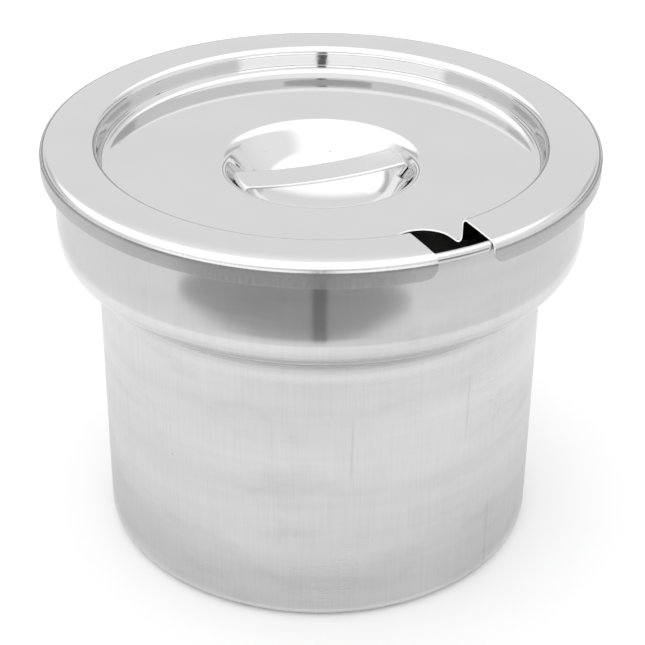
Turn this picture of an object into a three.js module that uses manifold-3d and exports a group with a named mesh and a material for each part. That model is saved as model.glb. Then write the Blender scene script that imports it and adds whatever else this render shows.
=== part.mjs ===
// Soup kettle: the deep steel pot that hangs in the well of a buffet soup warmer, with the
// lid that lifts off it. Millimetres, +Z up, origin at the centre of the pot's flat base.
// The pot is one deep-drawn pressing and the lid is another. A strap along X is welded
// across the dish in the lid as its handle, and the lid's ladle slot faces near -Y.

import * as THREE from 'three';
import { mergeVertices } from 'three/addons/utils/BufferGeometryUtils.js';
import Module from 'manifold-3d';

const wasm = await Module();
wasm.setup();

// ---- Driving dimensions ----

// Pot
const potSheet = 1.0;            // wall and base thickness
const bodyRadius = 113.8;        // outside of the straight body
const potHeight = 214.0;         // base to the top of the rolled rim
const baseCorner = 6;            // outside radius between base and body
const bandReach = 19.3;          // how far the wide upper band stands out past the body
const bandHeight = 42.5;         // top of the rim down to the shoulder
const shoulderRise = 30;         // height of the shoulder between body and band
const rimReach = 3.7;            // how far the rolled rim stands out past the band
const rimDepth = 4.2;            // height of the rolled rim
const rimFold = 1.4;             // outside radius where the rim folds under
const rimLipGap = 0.9;           // between the rim's turned-in lip and the band

// Lid pressing
const lidSheet = 0.9;
const skirtClearance = 1.3;      // between the rolled rim and the inside of the skirt
const seatGap = 0.3;             // between the rolled rim and the lid that rests on it
const skirtDepth = 11;           // the skirt's drop from the top of the ring
const skirtCorner = 4;           // outside radius between ring and skirt
const recessClearance = 20.9;    // from the inside of the band to the recess's upright wall
const recessDepth = 13.7;        // ring down to the outer edge of the panel
const recessRounding = 3.9;      // ring into the wall
const recessFillet = 4.8;        // wall into the panel
const panelFall = 2.3;           // the panel's gentle fall from there to the dish

// Dish in the middle of the lid
const dishRadius = 52.8;         // where the panel starts to turn down
const dishRounding = 7;          // panel into the dish's wall
const dishWallTilt = 52;         // degrees between the dish's wall and level
const dishWallWidth = 8;         // how far the straight wall runs inwards
const dishFootRadius = 24;       // wall into the floor
const dishFloorTilt = 10;        // degrees from level where the floor begins

// Ladle slot, punched through ring, wall and panel
const slotWidth = 29;
const slotPastWall = 24.5;       // recess wall to the round end of the slot
const slotCorner = 6;            // radius on the skirt's lower corners beside the slot
const slotTurn = -83;            // degrees from +X to the middle of the slot

// Handle strap
const strapWidth = 19;
const strapSheet = 1.3;
const strapDrop = 3.3;           // edge of the dish down to the top of the strap's ends
const strapEndTilt = 7;          // degrees that the bowed strap rises at its ends
const strapBend = 0.7;           // inside radius where an end turns down
const tabMargin = 1.2;           // foot of the dish's wall up to the turned-down end
const weldGap = 0.3;             // between that end and the wall it is welded to

// Smoothness
const turnSteps = 56;            // steps round every turned shape
const arcSteps = 3;              // steps along a small bend or rounding
const floorSteps = 5;            // steps from the dish's foot to its middle
const bowSteps = 6;              // steps from the strap's middle to its bend
const strapSteps = 6;            // steps across the strap's width
const slotSteps = 12;            // steps round the slot's end

// ---- Sizes that follow from them ----

const bandRadius = bodyRadius + bandReach;
const rimOuterRadius = bandRadius + rimReach;
const lidRadius = rimOuterRadius + skirtClearance + lidSheet;
const ringTop = potHeight + seatGap + lidSheet;
const recessRadius = bandRadius - potSheet - recessClearance;
const panelTop = ringTop - recessDepth;
const dishTop = panelTop - panelFall;
const slotReach = recessRadius - slotPastWall;

// ---- Helpers ----

const radians = THREE.MathUtils.degToRad;
const degrees = THREE.MathUtils.radToDeg;
const at = (x, y) => new THREE.Vector2(x, y);

/** Points round an arc, both ends included. Angles are in degrees. */
function arc(centre, radius, from, to, steps = arcSteps) {
  const points = [];
  for (let i = 0; i <= steps; i += 1) {
    const angle = radians(from + ((to - from) * i) / steps);
    points.push(at(centre.x + radius * Math.cos(angle), centre.y + radius * Math.sin(angle)));
  }
  return points;
}

/** The line shifted sideways by a distance, to the right of the way it runs. */
function shifted(line, distance) {
  const right = (a, b) => at(b.y - a.y, a.x - b.x).normalize();
  const last = line.length - 1;
  return line.map((corner, i) => {
    const before = right(line[Math.max(i - 1, 0)], line[Math.max(i, 1)]);
    const after = right(line[Math.min(i, last - 1)], line[Math.min(i + 1, last)]);
    const middle = before.clone().add(after).normalize();
    return corner.clone().addScaledVector(middle, distance / middle.dot(before));
  });
}

/** A manifold-3d solid from a closed geometry, its faces turned outwards. */
function solid(geometry) {
  const bare = geometry.clone();
  bare.deleteAttribute('normal');
  bare.deleteAttribute('uv');
  const merged = mergeVertices(bare, 1e-4);
  const count = merged.index ? merged.index.count : merged.attributes.position.count;
  const triangles = [];
  for (let i = 0; i < count; i += 3) {
    const [a, b, c] = [0, 1, 2].map((k) => merged.index.getX(i + k));
    if (a !== b && b !== c && c !== a) triangles.push(a, b, c);
  }
  const position = new Float32Array(merged.attributes.position.array);
  if (signedVolume(position, triangles) < 0) triangles.reverse();
  return new wasm.Manifold(new wasm.Mesh({
    numProp: 3,
    vertProperties: position,
    triVerts: new Uint32Array(triangles),
  }));
}

/** The volume inside a triangle mesh: below zero when its faces point inwards. */
function signedVolume(position, triangles) {
  const corner = (n) => new THREE.Vector3().fromArray(position, 3 * triangles[n]);
  let volume = 0;
  for (let i = 0; i < triangles.length; i += 3) {
    volume += corner(i).dot(corner(i + 1).cross(corner(i + 2))) / 6;
  }
  return volume;
}

/** A geometry from a manifold-3d solid. */
function geometryOf(manifold) {
  const mesh = manifold.getMesh();
  const geometry = new THREE.BufferGeometry();
  const position = new THREE.BufferAttribute(new Float32Array(mesh.vertProperties), 3);
  geometry.setAttribute('position', position);
  geometry.setIndex(new THREE.BufferAttribute(new Uint32Array(mesh.triVerts), 1));
  geometry.computeVertexNormals();
  return geometry;
}

/** Round sheet metal from one face's line, which starts on the axis, and the sheet to its right. */
function spunSheet(face, sheet) {
  const otherFace = shifted(face, sheet);
  otherFace[0].x = 0;
  const geometry = new THREE.LatheGeometry([...face, ...otherFace.reverse()], turnSteps);
  geometry.rotateX(Math.PI / 2);
  return solid(geometry);
}

function named(name, geometry, material) {
  const mesh = new THREE.Mesh(geometry, material);
  mesh.name = name;
  return mesh;
}

// ---- Materials ----

function steel(color, roughness) {
  return new THREE.MeshStandardMaterial({ color, roughness, metalness: 1 });
}

const satinSteel = steel(0xc9cacc, 0.38);
const polishedSteel = steel(0xd6d7d9, 0.12);
const strapSteel = steel(0xcfd0d2, 0.22);

// ---- Pot ----

/** The S-shaped shoulder: two equal arcs that meet half way up, upright at both ends. */
function shoulderCurve(foot, head) {
  const out = head.x - foot.x;
  const up = head.y - foot.y;
  const bend = (out * out + up * up) / (4 * out);
  const sweep = degrees(2 * Math.atan(out / up));
  const lower = arc(at(foot.x + bend, foot.y), bend, 180, 180 - sweep);
  const upper = arc(at(head.x - bend, head.y), bend, -sweep, 0);
  return [...lower, ...upper.slice(1)];
}

/** The rolled rim: up the band, over, down and turned under to its lip. */
function rimCurve(bandInside) {
  const curl = rimDepth / 2;
  const curlHeight = potHeight - curl;
  const foldHeight = potHeight - rimDepth + rimFold;
  return [
    ...arc(at(bandInside + curl, curlHeight), curl, 180, 90),
    ...arc(at(rimOuterRadius - curl, curlHeight), curl, 90, 0),
    ...arc(at(rimOuterRadius - rimFold, foldHeight), rimFold, 0, -90),
    at(bandRadius + rimLipGap, potHeight - rimDepth),
  ];
}

/** The pot's inside face, from the middle of its base to the lip of its rim. */
function potInsideFace() {
  const bodyInside = bodyRadius - potSheet;
  const bandInside = bandRadius - potSheet;
  const corner = baseCorner - potSheet;
  const head = at(bandInside, potHeight - bandHeight);
  const foot = at(bodyInside, head.y - shoulderRise);
  return [
    at(0, potSheet),
    ...arc(at(bodyInside - corner, potSheet + corner), corner, -90, 0),
    ...shoulderCurve(foot, head),
    ...rimCurve(bandInside),
  ];
}

// ---- Lid pressing ----

/** Where the rounding at the dish's edge runs into its straight wall. */
function dishWallTop() {
  const turn = radians(dishWallTilt);
  return at(
    dishRadius - dishRounding * Math.sin(turn),
    dishTop - dishRounding * (1 - Math.cos(turn)),
  );
}

/** Where the dish's straight wall runs into its rounded foot. */
function dishWallFoot() {
  const wallTop = dishWallTop();
  const slope = Math.tan(radians(dishWallTilt));
  return at(wallTop.x - dishWallWidth, wallTop.y - dishWallWidth * slope);
}

/** The dish's top face: floor, foot, straight wall and the rounding into the panel. */
function dishCurve() {
  const wallTilt = radians(dishWallTilt);
  const floorTilt = radians(dishFloorTilt);
  const wallFoot = dishWallFoot();
  const footCentre = at(
    wallFoot.x - dishFootRadius * Math.sin(wallTilt),
    wallFoot.y + dishFootRadius * Math.cos(wallTilt),
  );
  const foot = arc(footCentre, dishFootRadius, -90 + dishFloorTilt, -90 + dishWallTilt);
  const floorRadius = foot[0].x / Math.sin(floorTilt);
  const floorCentre = at(0, foot[0].y + floorRadius * Math.cos(floorTilt));
  const floor = arc(floorCentre, floorRadius, -90, -90 + dishFloorTilt, floorSteps);
  const edgeCentre = at(dishRadius, dishTop - dishRounding);
  return [...floor, ...foot.slice(1), ...arc(edgeCentre, dishRounding, 90 + dishWallTilt, 90)];
}

/** The lid's top face, from the middle of the dish to the skirt's lower edge. */
function lidTopFace() {
  const filletCentre = at(recessRadius - recessFillet, panelTop + recessFillet);
  const roundingCentre = at(recessRadius + recessRounding, ringTop - recessRounding);
  const cornerCentre = at(lidRadius - skirtCorner, ringTop - skirtCorner);
  return [
    ...dishCurve(),
    ...arc(filletCentre, recessFillet, -90, 0),
    ...arc(roundingCentre, recessRounding, 180, 90),
    ...arc(cornerCentre, skirtCorner, 90, 0),
    at(lidRadius, ringTop - skirtDepth),
  ];
}

/** The slot's plan, run down through the lid. It lies along -Y until the lid is turned. */
function slotCutter() {
  const half = slotWidth / 2;
  const plan = new THREE.Shape();
  plan.moveTo(-half, -lidRadius - half);
  plan.lineTo(half, -lidRadius - half);
  plan.absarc(0, -slotReach - half, half, 0, Math.PI, false);
  plan.closePath();
  const depth = skirtDepth + recessDepth + slotWidth;
  const options = { depth, bevelEnabled: false, curveSegments: slotSteps };
  const cutter = new THREE.ExtrudeGeometry(plan, options);
  cutter.translate(0, 0, ringTop + half - depth);
  return solid(cutter);
}

/** What rounds off the skirt's two lower corners beside the slot. */
function cornerCutter() {
  const half = slotWidth / 2;
  const hem = ringTop - skirtDepth;
  const outer = half + slotCorner;
  const front = new THREE.Shape();
  front.moveTo(-outer, hem - slotCorner);
  front.lineTo(outer, hem - slotCorner);
  front.absarc(outer, hem + slotCorner, slotCorner, -Math.PI / 2, -Math.PI, true);
  front.absarc(-outer, hem + slotCorner, slotCorner, 0, -Math.PI / 2, true);
  front.closePath();
  const depth = skirtCorner + slotCorner + half;
  const options = { depth, bevelEnabled: false, curveSegments: slotSteps };
  const cutter = new THREE.ExtrudeGeometry(front, options);
  cutter.rotateX(Math.PI / 2);
  cutter.translate(0, -lidRadius + skirtCorner + slotCorner, 0);
  return solid(cutter);
}

function makeLidPressing() {
  const faceOn = slotTurn + 90;
  const cutter = slotCutter().add(cornerCutter()).rotate([0, 0, faceOn]);
  return geometryOf(spunSheet(lidTopFace(), lidSheet).subtract(cutter));
}

// ---- Handle strap ----

/** The strap's top face seen from its side, from the middle to the foot of one end. */
function halfStrapLine() {
  const tilt = radians(strapEndTilt);
  const wallTilt = radians(dishWallTilt);
  const bend = strapBend + strapSheet;
  const bendStartHeight = dishTop - strapDrop;
  const bendHeight = bendStartHeight - bend * Math.cos(tilt);
  const wall = dishWallTop();
  const inset = (wall.y - bendHeight) * Math.cos(wallTilt) + weldGap + bend;
  const bendReach = wall.x - inset / Math.sin(wallTilt);
  const bowReach = bendReach - bend * Math.sin(tilt);
  const bowMiddle = bendStartHeight - (bowReach * Math.tan(tilt)) / 2;
  const line = [];
  for (let i = 0; i < bowSteps; i += 1) {
    const along = i / bowSteps;
    line.push(at(bowReach * along, bowMiddle + (bendStartHeight - bowMiddle) * along * along));
  }
  const turnDown = arc(at(bendReach, bendHeight), bend, 90 + strapEndTilt, dishWallTilt - 90);
  const tabTop = turnDown[turnDown.length - 1];
  const tabDrop = tabTop.y - dishWallFoot().y - tabMargin;
  const tabFoot = at(tabTop.x - tabDrop / Math.tan(wallTilt), tabTop.y - tabDrop);
  return [...line, ...turnDown, tabFoot];
}

/** Pulls the strap's ends inwards at their edges, so that they follow the dish's round wall. */
function followRoundWall(geometry, straightReach, roundReach) {
  const position = geometry.attributes.position;
  for (let i = 0; i < position.count; i += 1) {
    const x = position.getX(i);
    const y = position.getY(i);
    const share = THREE.MathUtils.smoothstep(Math.abs(x), straightReach, roundReach);
    if (share > 0) {
      const round = Math.sqrt(x * x - y * y);
      position.setX(i, Math.sign(x) * THREE.MathUtils.lerp(Math.abs(x), round, share));
    }
  }
}

function makeStrap() {
  const half = halfStrapLine();
  const mirrored = half.slice(1).map((p) => at(-p.x, p.y)).reverse();
  const top = [...mirrored, ...half];
  const side = new THREE.Shape([...top, ...shifted(top, strapSheet).reverse()]);
  const options = { depth: strapWidth, steps: strapSteps, bevelEnabled: false };
  const strap = new THREE.ExtrudeGeometry(side, options);
  strap.rotateX(Math.PI / 2);
  strap.translate(0, strapWidth / 2, 0);
  const tabFoot = half[half.length - 1].x - strapSheet;
  followRoundWall(strap, strapWidth, tabFoot);
  return geometryOf(solid(strap));
}

// ---- The kettle ----

const kettle = new THREE.Group();
kettle.add(named('pot', geometryOf(spunSheet(potInsideFace(), potSheet)), satinSteel));

const lid = new THREE.Group();
lid.add(named('lid_pressing', makeLidPressing(), polishedSteel));
lid.add(named('handle_strap', makeStrap(), strapSteel));
kettle.add(lid);

export default kettle;
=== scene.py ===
import math

import bmesh
import bpy
from mathutils import Matrix, Vector


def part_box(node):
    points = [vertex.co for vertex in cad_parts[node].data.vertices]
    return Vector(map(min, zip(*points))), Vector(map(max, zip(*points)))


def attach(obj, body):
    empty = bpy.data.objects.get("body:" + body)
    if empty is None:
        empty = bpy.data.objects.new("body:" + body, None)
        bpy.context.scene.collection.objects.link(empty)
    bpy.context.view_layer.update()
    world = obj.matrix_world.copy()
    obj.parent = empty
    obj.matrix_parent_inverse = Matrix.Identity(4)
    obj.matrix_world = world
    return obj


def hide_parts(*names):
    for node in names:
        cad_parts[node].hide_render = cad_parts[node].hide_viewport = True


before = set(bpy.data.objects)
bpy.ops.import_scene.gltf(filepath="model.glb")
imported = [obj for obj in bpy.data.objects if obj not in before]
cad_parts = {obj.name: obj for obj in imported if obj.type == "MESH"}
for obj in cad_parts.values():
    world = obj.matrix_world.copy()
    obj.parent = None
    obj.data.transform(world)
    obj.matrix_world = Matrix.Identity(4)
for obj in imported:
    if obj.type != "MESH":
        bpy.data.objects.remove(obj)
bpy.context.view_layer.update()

# ---------------------------------------------------------------------------------------
# THE POT. One deep drawing from a disc of stainless sheet: flat base, straight body, S-shaped
# shoulder and wide band, whose edge is rolled over and turned under to hang on the edge of
# the well. The body is left satin and the band is polished.
# ---------------------------------------------------------------------------------------
MM = 0.001
pot_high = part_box("pot")[1]
pot_height = pot_high.z
pot_sheet = 1.0 * MM
rim_radius = pot_high.x                  # outside of the rolled rim
rim_depth = 4.2 * MM
rim_fold = 1.4 * MM                      # outside radius where the rim folds under
rim_lip_gap = 0.9 * MM
on_axis = 0.0001 * MM                    # a point nearer than this is on the axis
band_radius = rim_radius - 3.7 * MM
body_radius = band_radius - 19.3 * MM
band_foot = pot_height - 42.5 * MM       # where the band runs into the shoulder
shoulder_foot = band_foot - 30.0 * MM
base_corner = 6.0 * MM


def arc(cx, cy, radius, start, stop, steps):
    """Points round an arc, ends included. Angles are in degrees."""
    points = []
    for i in range(steps + 1):
        angle = math.radians(start + (stop - start) * i / steps)
        points.append((cx + radius * math.cos(angle), cy + radius * math.sin(angle)))
    return points


def straight(start, stop, steps):
    """Points along a line, without its two ends."""
    return [tuple(a + (b - a) * i / steps for a, b in zip(start, stop)) for i in range(1, steps)]


def shifted(line, distance):
    """The line shifted sideways by a distance, to the right of the way it runs."""
    moved = []
    last = len(line) - 1
    for i, (x, y) in enumerate(line):
        x0, y0 = line[max(i - 1, 0)]
        x1, y1 = line[min(i + 1, last)]
        length = math.hypot(x1 - x0, y1 - y0)
        moved.append((x + distance * (y1 - y0) / length, y - distance * (x1 - x0) / length))
    return moved


def pot_inside_face():
    """The inside face, from the middle of the base to the lip of the rolled rim."""
    body_inside = body_radius - pot_sheet
    band_inside = band_radius - pot_sheet
    corner = base_corner - pot_sheet
    out = band_inside - body_inside
    up = band_foot - shoulder_foot
    bend = (out * out + up * up) / (4 * out)
    sweep = math.degrees(2 * math.atan(out / up))
    curl = rim_depth / 2
    base_edge = (body_inside - corner, pot_sheet)
    line = [(0.0, pot_sheet)] + straight((0.0, pot_sheet), base_edge, 12)
    line += arc(body_inside - corner, pot_sheet + corner, corner, -90, 0, 10)
    line += straight(line[-1], (body_inside, shoulder_foot), 24)
    line += arc(body_inside + bend, shoulder_foot, bend, 180, 180 - sweep, 14)
    line += arc(band_inside - bend, band_foot, bend, -sweep, 0, 14)[1:]
    line += straight(line[-1], (band_inside, pot_height - curl), 10)
    line += arc(band_inside + curl, pot_height - curl, curl, 180, 90, 8)
    line += arc(rim_radius - curl, pot_height - curl, curl, 90, 0, 8)
    line += arc(rim_radius - rim_fold, pot_height - rim_depth + rim_fold, rim_fold, 0, -90, 6)
    line.append((band_radius + rim_lip_gap, pot_height - rim_depth))
    return line


def new_piece(name, mesh, body, node):
    """An object for one piece, riding on its body in place of its plain stand-in."""
    piece = bpy.data.objects.new(name, mesh)
    bpy.context.scene.collection.objects.link(piece)
    for face in mesh.polygons:
        face.use_smooth = True
    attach(piece, body)
    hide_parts(node)
    return piece


def finished(name, mesh):
    """The mesh as Blender keeps it, with all faces turned outwards."""
    bmesh.ops.recalc_face_normals(mesh, faces=mesh.faces)
    data = bpy.data.meshes.new(name)
    mesh.to_mesh(data)
    mesh.free()
    return data


def spun_mesh(name, inside, outside, turns):
    """A closed skin from two lines that start on the axis, spun about it."""
    section = inside + outside[::-1]
    section[-1] = (0.0, section[-1][1])
    mesh = bmesh.new()
    rings = []
    for radius, height in section:
        if radius < on_axis:
            rings.append([mesh.verts.new((0, 0, height))] * turns)
            continue
        ring = []
        for i in range(turns):
            angle = 2 * math.pi * i / turns
            ring.append(mesh.verts.new((radius * math.cos(angle), radius * math.sin(angle), height)))
        rings.append(ring)
    for inner, outer in zip(rings, rings[1:]):
        for i in range(turns):
            k = (i + 1) % turns
            corners = [inner[i], inner[k], outer[k], outer[i]]
            corners = [c for n, c in enumerate(corners) if c not in corners[:n]]
            mesh.faces.new(corners)
    return finished(name, mesh)


pot_line = pot_inside_face()
pot_mesh = spun_mesh("pot_drawing", pot_line, shifted(pot_line, pot_sheet), 256)
pot = new_piece("pot_drawing", pot_mesh, "pot", "pot")


class Recipe:
    """A material's node tree, with short calls to add and join nodes."""

    def __init__(self, name):
        self.material = bpy.data.materials.new(name)
        self.material.use_nodes = True
        self.tree = self.material.node_tree
        self.shader = self.tree.nodes["Principled BSDF"]
        self.shader.inputs["Metallic"].default_value = 1.0
        self.place = self.node("ShaderNodeTexCoord").outputs["Object"]

    def node(self, kind, **settings):
        made = self.tree.nodes.new(kind)
        for key, value in settings.items():
            setattr(made, key, value)
        return made

    def feed(self, socket, value):
        if isinstance(value, bpy.types.NodeSocket):
            self.tree.links.new(value, socket)
        else:
            socket.default_value = value

    def maths(self, operation, a, b=0.0):
        made = self.node("ShaderNodeMath", operation=operation)
        for socket, value in zip(made.inputs, (a, b)):
            self.feed(socket, value)
        return made.outputs[0]

    def range(self, value, low, high, new_low, new_high):
        made = self.node("ShaderNodeMapRange")
        given = {"Value": value, "From Min": low, "From Max": high, "To Min": new_low, "To Max": new_high}
        for key, number in given.items():
            self.feed(made.inputs[key], number)
        return made.outputs[0]

    def between(self, low, high, share):
        return self.maths("ADD", low, self.maths("MULTIPLY", self.maths("SUBTRACT", high, low), share))

    def noise(self, place, scale, detail=2.0, roughness=0.5):
        made = self.node("ShaderNodeTexNoise")
        self.feed(made.inputs["Vector"], place)
        self.feed(made.inputs["Scale"], scale)
        self.feed(made.inputs["Detail"], detail)
        self.feed(made.inputs["Roughness"], roughness)
        return made.outputs["Fac"]

    def stretched(self, place, scale, turn=(0, 0, 0)):
        made = self.node("ShaderNodeMapping")
        self.feed(made.inputs["Vector"], place)
        made.inputs["Scale"].default_value = scale
        made.inputs["Rotation"].default_value = turn
        return made.outputs[0]

    def round_place(self, radius):
        """The place on a round wall: metres round it at a radius, height, and reach from the axis."""
        split = self.node("ShaderNodeSeparateXYZ")
        self.feed(split.inputs[0], self.place)
        x, y, z = split.outputs
        round_it = self.maths("MULTIPLY", self.maths("ARCTAN2", y, x), radius)
        squares = self.maths("ADD", self.maths("MULTIPLY", x, x), self.maths("MULTIPLY", y, y))
        reach = self.maths("SQRT", squares)
        join = self.node("ShaderNodeCombineXYZ")
        self.feed(join.inputs[0], round_it)
        self.feed(join.inputs[1], z)
        return join.outputs[0], z, reach

    def specks(self, scale, width, share):
        """Small round marks: 1 inside one, 0 elsewhere. Only a share of the cells has one."""
        cells = self.node("ShaderNodeTexVoronoi")
        self.feed(cells.inputs["Vector"], self.place)
        self.feed(cells.inputs["Scale"], scale)
        mark = self.range(cells.outputs["Distance"], width * scale * 0.6, width * scale, 1.0, 0.0)
        chosen = self.node("ShaderNodeSeparateColor")
        self.feed(chosen.inputs[0], cells.outputs["Color"])
        return self.maths("MULTIPLY", mark, self.maths("LESS_THAN", chosen.outputs[0], share))

    def bump(self, height, distance, normal=None):
        made = self.node("ShaderNodeBump")
        self.feed(made.inputs["Height"], height)
        made.inputs["Distance"].default_value = distance
        if normal is not None:
            self.feed(made.inputs["Normal"], normal)
        return made.outputs[0]


def satin_steel():
    """Dull-polished body and inside, and a bright band: polishing lines, clouds and scratches."""
    r = Recipe("satin_steel")
    wall, height, reach = r.round_place(body_radius)
    on_band = r.range(height, shoulder_foot - 0.003, shoulder_foot + 0.003, 0.0, 1.0)
    outside = r.range(reach, body_radius - 0.0006, body_radius - 0.0004, 0.0, 1.0)
    bright = r.maths("MULTIPLY", on_band, outside)
    clouds = r.noise(r.place, 16.0, 4.0, 0.55)
    bands = r.noise(r.stretched(wall, (5.0, 60.0, 1.0)), 1.0, 3.0, 0.55)
    smudges = r.noise(r.stretched(wall, (18.0, 42.0, 1.0)), 1.0, 4.0, 0.6)
    lines = r.noise(r.stretched(wall, (14.0, 800.0, 1.0)), 1.0, 2.0, 0.5)
    upright = r.noise(r.stretched(wall, (900.0, 26.0, 1.0)), 1.0, 3.0, 0.6)
    scores = r.noise(r.stretched(wall, (260.0, 9.0, 1.0), (0, 0, 0.12)), 1.0, 0.0)
    scratches = r.range(scores, 0.78, 0.82, 0.0, 1.0)
    marks = r.specks(70.0, 0.0006, 0.16)

    dull = r.range(clouds, 0.3, 0.7, 0.27, 0.34)
    dull = r.maths("ADD", dull, r.range(lines, 0.3, 0.7, -0.015, 0.02))
    polished = r.range(clouds, 0.3, 0.7, 0.09, 0.13)
    rough = r.between(dull, polished, bright)
    rough = r.maths("ADD", rough, r.maths("MULTIPLY", scratches, 0.1))
    r.feed(r.shader.inputs["Roughness"], rough)

    grey = r.range(clouds, 0.3, 0.7, 0.655, 0.69)
    grey = r.maths("ADD", grey, r.range(bands, 0.3, 0.7, -0.03, 0.03))
    grey = r.maths("ADD", grey, r.range(upright, 0.3, 0.7, -0.02, 0.02))
    grey = r.maths("SUBTRACT", grey, r.range(smudges, 0.52, 0.75, 0.0, 0.08))
    grey = r.maths("SUBTRACT", grey, r.maths("MULTIPLY", marks, 0.22))
    grey = r.maths("SUBTRACT", grey, r.maths("MULTIPLY", scratches, 0.04))
    r.feed(r.shader.inputs["Base Color"], grey)

    r.feed(r.shader.inputs["Normal"], r.bump(r.noise(r.place, 24.0, 1.0), 0.00005))
    return r.material


pot.data.materials.append(satin_steel())

# ---------------------------------------------------------------------------------------
# THE LID PRESSING. One pressing from polished sheet: skirt, ring, a recess with an upright
# wall, a panel that falls gently inwards and a finger dish in its middle. The ladle slot is
# punched through ring, wall and panel, and the skirt's corners beside it are rounded off.
# ---------------------------------------------------------------------------------------
lid_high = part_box("lid_pressing")[1]
lid_sheet = 0.9 * MM
lid_radius = lid_high.x
ring_top = lid_high.z
skirt_hem = ring_top - 11.0 * MM
skirt_corner = 4.0 * MM
ring_fall = 0.20 * MM                    # how far the ring's top droops towards the skirt
ring_fall_width = 9.0 * MM
recess_radius = band_radius - pot_sheet - 20.9 * MM
recess_rounding = 3.9 * MM
recess_fillet = 4.8 * MM
recess_draft = 4.0                       # degrees that the recess's wall opens upwards
panel_top = ring_top - 13.7 * MM         # at its outer edge
dish_top = panel_top - 2.3 * MM          # where it turns down into the dish
dish_radius = 52.8 * MM
dish_rounding = 7.0 * MM
dish_wall_tilt = 52.0                    # degrees from level
dish_wall_width = 8.0 * MM
dish_foot_radius = 24.0 * MM
dish_floor_tilt = 10.0
panel_tilt = math.degrees(math.atan2(panel_top - dish_top, recess_radius - recess_fillet - dish_radius))
slot_half = 14.5 * MM
slot_centre = recess_radius - 24.5 * MM + slot_half
slot_corner = 6.0 * MM
slot_turn = math.radians(-83)


def dish_wall():
    """The upper and lower end of the dish's straight wall, on its top face."""
    tilt = math.radians(dish_wall_tilt)
    top = (dish_radius - dish_rounding * math.sin(tilt), dish_top - dish_rounding * (1 - math.cos(tilt)))
    foot = (top[0] - dish_wall_width, top[1] - dish_wall_width * math.tan(tilt))
    return top, foot


def dish_face():
    """The dish's top face, from the middle of its floor to the panel."""
    top, foot = dish_wall()
    tilt, floor = math.radians(dish_wall_tilt), math.radians(dish_floor_tilt)
    foot_x = foot[0] - dish_foot_radius * math.sin(tilt)
    foot_z = foot[1] + dish_foot_radius * math.cos(tilt)
    bend = arc(foot_x, foot_z, dish_foot_radius, -90 + dish_floor_tilt, -90 + dish_wall_tilt, 14)
    floor_radius = bend[0][0] / math.sin(floor)
    floor_z = bend[0][1] + floor_radius * math.cos(floor)
    line = arc(0.0, floor_z, floor_radius, -90, -90 + dish_floor_tilt, 12)
    line += bend[1:] + straight(foot, top, 5)
    rounding_z = dish_top - dish_rounding
    line += arc(dish_radius, rounding_z, dish_rounding, 90 + dish_wall_tilt, 90 + panel_tilt, 12)
    return line


def lid_top_face():
    """The lid's top face, from the middle of the dish to the skirt's hem."""
    fillet_x = recess_radius - recess_fillet
    rounding_x = recess_radius + recess_rounding
    line = dish_face()
    fillet = arc(fillet_x, panel_top + recess_fillet, recess_fillet, -90 + panel_tilt, -recess_draft, 14)
    start, stop = line[-1], fillet[0]
    slot_end = slot_centre - slot_half
    reaches = [start[0] + (slot_end - start[0]) * i / 8 for i in range(1, 8)]
    for i in range(15):                  # closer together round the slot's end
        reaches.append(slot_end + slot_half * (1 - math.cos(math.radians(90 * i / 14))))
    reaches += [reaches[-1] + (stop[0] - reaches[-1]) * i / 3 for i in (1, 2)]
    for reach in reaches:
        line.append((reach, start[1] + (stop[1] - start[1]) * (reach - start[0]) / (stop[0] - start[0])))
    line += fillet
    rounding = arc(rounding_x, ring_top - recess_rounding, recess_rounding, 180 - recess_draft, 90, 12)
    line += straight(line[-1], rounding[0], 4) + rounding
    flat_end = lid_radius - skirt_corner - ring_fall_width
    line += straight(line[-1], (flat_end, ring_top), 4) + [(flat_end, ring_top)]
    for i in range(1, 8):
        line.append((flat_end + ring_fall_width * i / 8, ring_top - ring_fall * (i / 8) ** 2))
    corner_z = ring_top - ring_fall - skirt_corner
    line += arc(lid_radius - skirt_corner, corner_z, skirt_corner, 88, 0, 14)
    line += straight(line[-1], (lid_radius, skirt_hem), 10)
    line.append((lid_radius, skirt_hem))
    return line


def slot_opening(radius, height):
    """Half the angle that the slot takes out of the lid at a radius and a height."""
    half = slot_half
    lift = height - skirt_hem
    if radius > lid_radius - skirt_corner and lift < slot_corner:
        half += slot_corner - math.sqrt(max(slot_corner ** 2 - (slot_corner - max(lift, 0)) ** 2, 0))
    if radius <= slot_centre - half:
        return 0.0
    if radius ** 2 >= slot_centre ** 2 + half ** 2:
        return math.asin(half / radius)
    share = (radius ** 2 + slot_centre ** 2 - half ** 2) / (2 * radius * slot_centre)
    return math.acos(min(share, 1.0))


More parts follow.
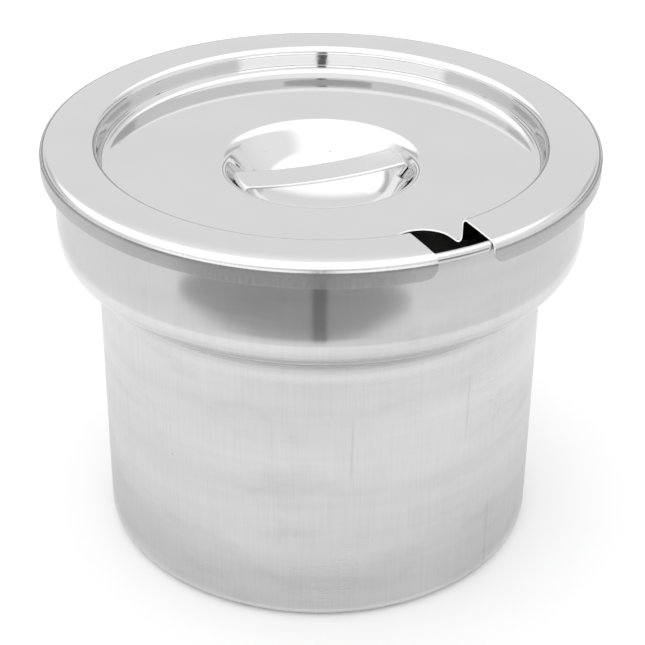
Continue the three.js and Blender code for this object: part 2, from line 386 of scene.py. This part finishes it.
def slotted_mesh(name, top_line, under_line, turns):
    """Round sheet with the slot left out: each ring runs from one side of the slot to the other."""
    mesh = bmesh.new()

    def ring(radius, height, closed=False):
        opening = 0.0 if closed else slot_opening(radius, height)
        if radius < on_axis:
            return [mesh.verts.new((0, 0, height))] * (turns + 1)
        made = []
        for i in range(turns + 1):
            if i == turns and opening == 0.0:
                made.append(made[0])
                continue
            angle = slot_turn + opening + (2 * math.pi - 2 * opening) * i / turns
            made.append(mesh.verts.new((radius * math.cos(angle), radius * math.sin(angle), height)))
        return made

    def skin(corners, cut=0):
        corners = [c for n, c in enumerate(corners) if c not in corners[:n]]
        if len(corners) > 2:
            mesh.faces.new(corners).material_index = cut

    tops = [ring(x, z) for x, z in top_line]
    unders = [ring(x, z, top[0] == top[turns]) for (x, z), top in zip(under_line, tops)]
    for rings in (tops, unders):
        for inner, outer in zip(rings, rings[1:]):
            for i in range(turns):
                skin([inner[i], inner[i + 1], outer[i + 1], outer[i]])
    for i in range(turns):
        skin([tops[-1][i], tops[-1][i + 1], unders[-1][i + 1], unders[-1][i]])
    for side in (0, turns):
        for (t0, t1), (u0, u1) in zip(zip(tops, tops[1:]), zip(unders, unders[1:])):
            if t1[0] != t1[turns]:
                skin([t0[side], t1[side], u1[side], u0[side]], 1)
    return finished(name, mesh)


def sharp_edges(piece, angle, width):
    """Takes the sharpness off the cut edges, and keeps the faces beside them flat."""
    bevel = piece.modifiers.new("edge", "BEVEL")
    bevel.limit_method = "ANGLE"
    bevel.angle_limit = math.radians(angle)
    bevel.width = width
    bevel.segments = 2
    bevel.harden_normals = True


lid_line = lid_top_face()
lid_under = shifted(lid_line, lid_sheet)
lid_under[0] = (0.0, lid_under[0][1])
lid_mesh = slotted_mesh("lid_skin", lid_line, lid_under, 320)
lid = new_piece("lid_skin", lid_mesh, "lid", "lid_pressing")
sharp_edges(lid, 50, 0.2 * MM)


def polished_steel():
    """Mirror-polished sheet: waves and wiping marks, a rippled recess and a brushed skirt."""
    r = Recipe("polished_steel")
    wall, _, reach = r.round_place(lid_radius)
    skirt = r.range(reach, lid_radius - 0.0011, lid_radius - 0.0007, 0.0, 1.0)
    ripples_in, ripples_out, fade = 104.0 * MM, 116.0 * MM, 3.0 * MM
    past_panel = r.range(reach, ripples_in, ripples_in + fade, 0.0, 1.0)
    before_ring = r.range(reach, ripples_out - fade, ripples_out, 1.0, 0.0)
    beside_wall = r.maths("MULTIPLY", past_panel, before_ring)
    in_dish = r.range(reach, 44.0 * MM, 48.0 * MM, 1.0, 0.0)
    clouds = r.noise(r.place, 18.0, 4.0, 0.6)
    wiped = r.noise(r.stretched(r.place, (40.0, 1500.0, 40.0), (0, 0, 0.5)), 1.0, 2.0)
    fine = r.noise(r.stretched(r.place, (1100.0, 30.0, 30.0), (0, 0, -0.35)), 1.0, 2.0)
    scratches = r.maths("ADD", r.range(wiped, 0.66, 0.74, 0.0, 1.0), r.range(fine, 0.68, 0.76, 0.0, 1.0))
    grain = r.noise(r.stretched(wall, (2600.0, 110.0, 1.0)), 1.0, 3.0, 0.6)
    marks = r.maths("MULTIPLY", r.specks(110.0, 0.0007, 0.3), in_dish)

    rough = r.range(clouds, 0.3, 0.7, 0.045, 0.085)
    rough = r.maths("ADD", rough, r.maths("MULTIPLY", scratches, 0.05))
    rough = r.between(rough, r.range(grain, 0.3, 0.7, 0.17, 0.27), skirt)
    r.feed(r.shader.inputs["Roughness"], rough)

    grey = r.range(clouds, 0.3, 0.7, 0.70, 0.72)
    grey = r.maths("SUBTRACT", grey, r.maths("MULTIPLY", scratches, 0.012))
    grey = r.maths("SUBTRACT", grey, r.maths("MULTIPLY", marks, 0.4))
    grey = r.maths("ADD", grey, r.maths("MULTIPLY", r.range(grain, 0.3, 0.7, -0.13, -0.03), skirt))
    r.feed(r.shader.inputs["Base Color"], grey)

    wavy = r.bump(r.noise(r.place, 24.0, 1.0), 0.00003)
    ripples = r.maths("MULTIPLY", r.noise(r.place, 75.0, 2.0), beside_wall)
    r.feed(r.shader.inputs["Normal"], r.bump(ripples, 0.0001, wavy))
    return r.material


def sheared_edge():
    """The cut edge of the sheet, slightly torn. Its lighter grey is a painted highlight, and its shading
    is tilted upwards.
    """
    r = Recipe("sheared_edge")
    torn = r.noise(r.stretched(r.place, (1400.0, 1400.0, 500.0)), 1.0, 2.0)
    r.feed(r.shader.inputs["Roughness"], r.range(torn, 0.3, 0.7, 0.42, 0.55))
    # painted highlight: the edge's grey is set well above the sheet's, so that the cut shows as a bright
    # line
    r.feed(r.shader.inputs["Base Color"], r.range(torn, 0.3, 0.7, 0.82, 0.92))
    rounded = r.node("ShaderNodeVectorMath", operation="ADD")
    r.feed(rounded.inputs[0], r.node("ShaderNodeNewGeometry").outputs["True Normal"])
    rounded.inputs[1].default_value = (0, 0, 1.1)
    level = r.node("ShaderNodeVectorMath", operation="NORMALIZE")
    r.feed(level.inputs[0], rounded.outputs[0])
    r.feed(r.shader.inputs["Normal"], r.bump(torn, 0.00002, level.outputs[0]))
    return r.material


lid.data.materials.append(polished_steel())
lid.data.materials.append(sheared_edge())

# ---------------------------------------------------------------------------------------
# THE HANDLE STRAP. A flat strip of steel bridging the dish, bowed down a little in the
# middle. Its ends turn down against the dish's wall, follow its curve and are spot-welded.
# ---------------------------------------------------------------------------------------
strap_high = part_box("handle_strap")[1]
strap_half = strap_high.y
strap_sheet = 1.3 * MM
strap_drop = 3.3 * MM
strap_end_tilt = math.radians(7)
strap_bend = 0.7 * MM
tab_margin = 1.2 * MM
weld_gap = 0.3 * MM
strap_flat = 19.0 * MM                   # out from the middle, where the ends start to curve
strap_curving = 20.0 * MM                # and over what length they take up the dish's curve


def half_strap_line():
    """The strap's top face seen from its side, from the middle to the foot of one end."""
    wall_tilt = math.radians(dish_wall_tilt)
    bend = strap_bend + strap_sheet
    start_z = dish_top - strap_drop
    bend_z = start_z - bend * math.cos(strap_end_tilt)
    wall, foot = dish_wall()
    inset = (wall[1] - bend_z) * math.cos(wall_tilt) + weld_gap + bend
    bend_x = wall[0] - inset / math.sin(wall_tilt)
    bow = bend_x - bend * math.sin(strap_end_tilt)
    middle_z = start_z - bow * math.tan(strap_end_tilt) / 2
    line = [(bow * i / 24, middle_z + (start_z - middle_z) * (i / 24) ** 2) for i in range(24)]
    line += arc(bend_x, bend_z, bend, 90 + math.degrees(strap_end_tilt), dish_wall_tilt - 90, 12)
    drop = line[-1][1] - foot[1] - tab_margin
    tab_foot = (line[-1][0] - drop / math.tan(wall_tilt), line[-1][1] - drop)
    return line + straight(line[-1], tab_foot, 6) + [tab_foot]


def strap_mesh(name):
    """A closed strip: across each station it has a flat top and underside and round edges."""
    half_line = half_strap_line()
    top = [(-x, z) for x, z in half_line[:0:-1]] + half_line
    under = shifted(top, strap_sheet)
    edge = 0.45 * MM                     # rounding of the strip's long edges
    tab_rounding = 3.0 * MM
    across = 16
    mesh = bmesh.new()
    length = 0.0
    rings = []
    total = sum(math.dist(a, b) for a, b in zip(top, top[1:]))
    for i, ((tx, tz), (ux, uz)) in enumerate(zip(top, under)):
        if i:
            length += math.dist(top[i - 1], top[i])
        near_end = min(length, total - length)
        half = strap_half
        if near_end < tab_rounding:
            half -= tab_rounding - math.sqrt(tab_rounding ** 2 - (tab_rounding - near_end) ** 2)
        stations = []
        for k in range(across + 1):      # over the top, left to right
            stations.append(((half - edge) * (2 * k / across - 1), 0.0))
        for k in range(1, 6):            # down the right edge
            turn = math.radians(180 * k / 6)
            stations.append((half - edge + edge * math.sin(turn), (1 - math.cos(turn)) / 2))
        for k in range(across + 1):      # back under
            stations.append(((half - edge) * (1 - 2 * k / across), 1.0))
        for k in range(1, 6):            # up the left edge
            turn = math.radians(180 * k / 6)
            stations.append((-half + edge - edge * math.sin(turn), (1 + math.cos(turn)) / 2))
        ring = []
        for y, share in stations:
            x = tx + (ux - tx) * share
            z = tz + (uz - tz) * share
            follow = min(max((abs(x) - strap_flat) / strap_curving, 0.0), 1.0)
            follow = follow * follow * (3 - 2 * follow)
            if follow > 0:
                x = math.copysign(abs(x) + (math.sqrt(x * x - y * y) - abs(x)) * follow, x)
            ring.append(mesh.verts.new((x, y, z)))
        rings.append(ring)
    count = len(rings[0])
    for a, b in zip(rings, rings[1:]):
        for k in range(count):
            n = (k + 1) % count
            mesh.faces.new([a[k], a[n], b[n], b[k]])
    mesh.faces.new(rings[0])
    mesh.faces.new(rings[-1])
    return finished(name, mesh)


strap_strip = strap_mesh("handle_strap_strip")
strap = new_piece("handle_strap_strip", strap_strip, "lid", "handle_strap")
sharp_edges(strap, 60, 0.2 * MM)


def strap_steel():
    """Strip with a fine grain along its length."""
    r = Recipe("strap_steel")
    grain = r.noise(r.stretched(r.place, (40.0, 3000.0, 400.0)), 1.0, 3.0)
    r.feed(r.shader.inputs["Roughness"], r.range(grain, 0.3, 0.7, 0.14, 0.2))
    r.feed(r.shader.inputs["Normal"], r.bump(grain, 0.000003))
    r.feed(r.shader.inputs["Base Color"], r.range(grain, 0.3, 0.7, 0.69, 0.72))
    return r.material


strap.data.materials.append(strap_steel())

# ---------------------------------------------------------------------------------------
# THE STUDIO. A pale floor, a bright room and the camera above and in front. The steel mirrors
# ten sheets that the camera doesn't see (floor zones, a camera, its stand), and a room whose
# light changes with direction. Both are set up for this one view.
# ---------------------------------------------------------------------------------------
view_turn = math.radians(-20.7)          # the camera's place round the kettle, from -Y
view_height = math.radians(30.581)       # and above it
view_distance = 0.91643
view_target = Vector((0, 0, 0.10545))
view_pan, view_tip, view_roll = (math.radians(a) for a in (-0.0965, -0.0022, 0.502))

camera_data = bpy.data.cameras.new("camera")
camera_data.lens = 96.741
camera_data.sensor_width = 36.0
camera = bpy.data.objects.new("camera", camera_data)
bpy.context.scene.collection.objects.link(camera)
facing = Matrix.Rotation(view_turn, 4, "Z") @ Matrix.Rotation(math.pi / 2 - view_height, 4, "X")
trim = Matrix.Rotation(view_pan, 4, "Y") @ Matrix.Rotation(view_tip, 4, "X")
trim = trim @ Matrix.Rotation(view_roll, 4, "Z")
camera_place = view_target + facing @ Vector((0, 0, view_distance))
camera.matrix_world = Matrix.Translation(camera_place) @ facing @ trim
bpy.context.scene.camera = camera


def stage_sheet(name, points, grey, faces=None):
    """Flat matt sheet of the studio."""
    data = bpy.data.meshes.new(name)
    data.from_pydata(points, [], faces or [list(range(len(points)))])
    sheet = bpy.data.objects.new(name, data)
    bpy.context.scene.collection.objects.link(sheet)
    paint = bpy.data.materials.new(name)
    paint.use_nodes = True
    shader = paint.node_tree.nodes["Principled BSDF"]
    shader.inputs["Base Color"].default_value = (grey, grey, grey, 1)
    shader.inputs["Roughness"].default_value = 0.9
    shader.inputs["Specular IOR Level"].default_value = 0.0
    data.materials.append(paint)
    return sheet


def around(turn, reach, height):
    """A place round the kettle, its turn in degrees to the right of the camera."""
    angle = view_turn - math.pi / 2 + math.radians(turn)
    return (reach * math.cos(angle), reach * math.sin(angle), height)


def only_mirrored(sheet):
    """Leaves a sheet out of the picture and of the light, so that only steel shows it."""
    sheet.visible_camera = False
    sheet.visible_diffuse = False
    sheet.visible_shadow = False


floor_half = 6.0
stage_sheet("floor", [(-floor_half, -floor_half, 0), (floor_half, -floor_half, 0),
                      (floor_half, floor_half, 0), (-floor_half, floor_half, 0)], 0.9)


def floor_zone(name, first, last, near, far, height, grey):
    """A part of the floor as the steel mirrors it, between two reaches over some turns."""
    count = 60
    points = []
    for i in range(count + 1):
        turn = first + (last - first) * i / count
        points += [around(turn, near(turn), height), around(turn, far(turn), height)]
    faces = [[2 * i, 2 * i + 1, 2 * i + 3, 2 * i + 2] for i in range(count)]
    only_mirrored(stage_sheet(name, points, grey, faces))


def at(reach):
    return lambda turn: reach


def end_near(turn):
    return 0.411 + 0.045 * ((turn + 10) / 44) ** 2


def end_far(turn):
    return 0.456 + 0.06 * (1 - ((turn + 10) / 44) ** 4)


# painted shadow: the two rings nearest the kettle are darker, standing in for its shadow on the floor as
# the steel mirrors it
floor_zone("painted_shadow_by_kettle", -180, 180, at(0.118), at(0.15), 0.0004, 0.70)
floor_zone("painted_shade_near_kettle", -180, 180, at(0.15), at(0.21), 0.0004, 0.79)
floor_zone("floor_middle", -180, 180, at(0.21), at(0.38), 0.0004, 0.83)
floor_zone("floor_outer", -180, 180, at(0.38), at(0.51), 0.0004, 0.69)
floor_zone("floor_beyond", -180, 180, at(0.51), at(2.4), 0.0004, 0.36)
floor_zone("floor_front", -75, 55, at(0.51), at(2.4), 0.0006, 0.24)
floor_zone("floor_end", -54, 34, end_near, end_far, 0.0008, 0.28)
# painted shadow: a dark strip on the floor standing in for the camera stand's shadow, which the polished
# band mirrors as a dark streak
floor_zone("painted_stand_shadow", -2.6, 2.6, at(0.406), at(2.4), 0.0012, 0.15)

camera_back = []
back_turn, back_half_turn = -4, 26       # degrees
back_reach, back_middle, back_half_height = 1.0, 0.79, 0.10
for i in range(32):
    angle = 2 * math.pi * i / 32
    height = back_middle + back_half_height * math.sin(angle)
    camera_back.append(around(back_turn + back_half_turn * math.cos(angle), back_reach, height))
only_mirrored(stage_sheet("camera_back", camera_back, 0.58))

stand_turn, stand_reach, stand_height = 2.7, 0.97, 0.95
stand = [around(-stand_turn, stand_reach, 0), around(stand_turn, stand_reach, 0),
         around(stand_turn, stand_reach, stand_height), around(-stand_turn, stand_reach, stand_height)]
only_mirrored(stage_sheet("camera_stand", stand, 0.13))

room = bpy.data.worlds.new("room")
room.use_nodes = True
bpy.context.scene.world = room
tree = room.node_tree
background = tree.nodes["Background"]
background.inputs["Color"].default_value = (1, 1, 1, 1)


def room_maths(operation, a, b):
    made = tree.nodes.new("ShaderNodeMath")
    made.operation = operation
    for socket, value in zip(made.inputs, (a, b)):
        if isinstance(value, bpy.types.NodeSocket):
            tree.links.new(value, socket)
        else:
            socket.default_value = value
    return made.outputs[0]


def room_step(value, low, high, new_low, new_high):
    made = tree.nodes.new("ShaderNodeMapRange")
    made.interpolation_type = "SMOOTHSTEP"
    tree.links.new(value, made.inputs["Value"])
    for key, given in (("From Min", low), ("From Max", high), ("To Min", new_low), ("To Max", new_high)):
        made.inputs[key].default_value = given
    return made.outputs[0]


direction = tree.nodes.new("ShaderNodeTexCoord").outputs["Generated"]
split = tree.nodes.new("ShaderNodeSeparateXYZ")
tree.links.new(direction, split.inputs[0])
dx, dy, dz = split.outputs
level_square = room_maths("ADD", room_maths("MULTIPLY", dx, dx), room_maths("MULTIPLY", dy, dy))
level = room_maths("MAXIMUM", room_maths("SQRT", level_square, 0.0), 0.001)


def towards(turn):
    """How far a direction points to a place that many degrees to the right of the camera."""
    x, y, _ = around(turn, 1, 0)
    return room_maths("ADD", room_maths("MULTIPLY", dx, x), room_maths("MULTIPLY", dy, y))


wall_behind_light, wall_front_light = 0.93, 1.05
low_wall_share, corner_share = 0.45, 0.7   # of the wall's light
window_light = 1.55
shown_light = 1.0                        # where the camera sees the room itself
behind = room_step(room_maths("DIVIDE", towards(0), level), -0.5, -0.35, 1.0, 0.0)
low = room_step(dz, 0.16, 0.24, 1.0, 0.0)
walls = room_step(towards(0), -0.75, 0.1, wall_behind_light, wall_front_light)
low_behind = room_maths("MULTIPLY", behind, low)
walls = room_maths("MULTIPLY", walls, room_step(low_behind, 0.0, 1.0, 1.0, low_wall_share))
backwards = room_maths("DIVIDE", towards(180), level)
aside = room_step(backwards, 0.88, 0.94, 1.0, 0.0)
corner = room_maths("MULTIPLY", room_step(backwards, 0.42, 0.55, 0.0, 1.0), aside)
corner = room_maths("MULTIPLY", corner, room_step(dz, 0.46, 0.54, 1.0, 0.0))
corner = room_maths("MULTIPLY", corner, room_step(dz, 0.32, 0.37, 0.0, 1.0))
walls = room_maths("MULTIPLY", walls, room_step(corner, 0.0, 1.0, 1.0, corner_share))
window = room_step(room_maths("DIVIDE", towards(-12), level), 0.53, 0.6, 0.0, 1.0)
window = room_maths("MULTIPLY", window, room_step(dz, 0.36, 0.39, 1.0, 0.0))
rise = room_maths("SUBTRACT", dz, room_maths("MULTIPLY", towards(0), 0.09))
rise = room_maths("ADD", rise, room_maths("MULTIPLY", towards(-90), 0.16))
overhead = room_step(rise, 0.575, 0.70, 0.0, 1.0)
lit = room_maths("MAXIMUM", overhead, window)
brighter = room_maths("SUBTRACT", window_light, walls)
strength = room_maths("ADD", walls, room_maths("MULTIPLY", brighter, lit))
seen = tree.nodes.new("ShaderNodeLightPath").outputs["Is Camera Ray"]
whiter = room_maths("SUBTRACT", shown_light, strength)
strength = room_maths("ADD", strength, room_maths("MULTIPLY", whiter, seen))
tree.links.new(strength, background.inputs["Strength"])

bpy.context.scene.view_settings.view_transform = "Standard"
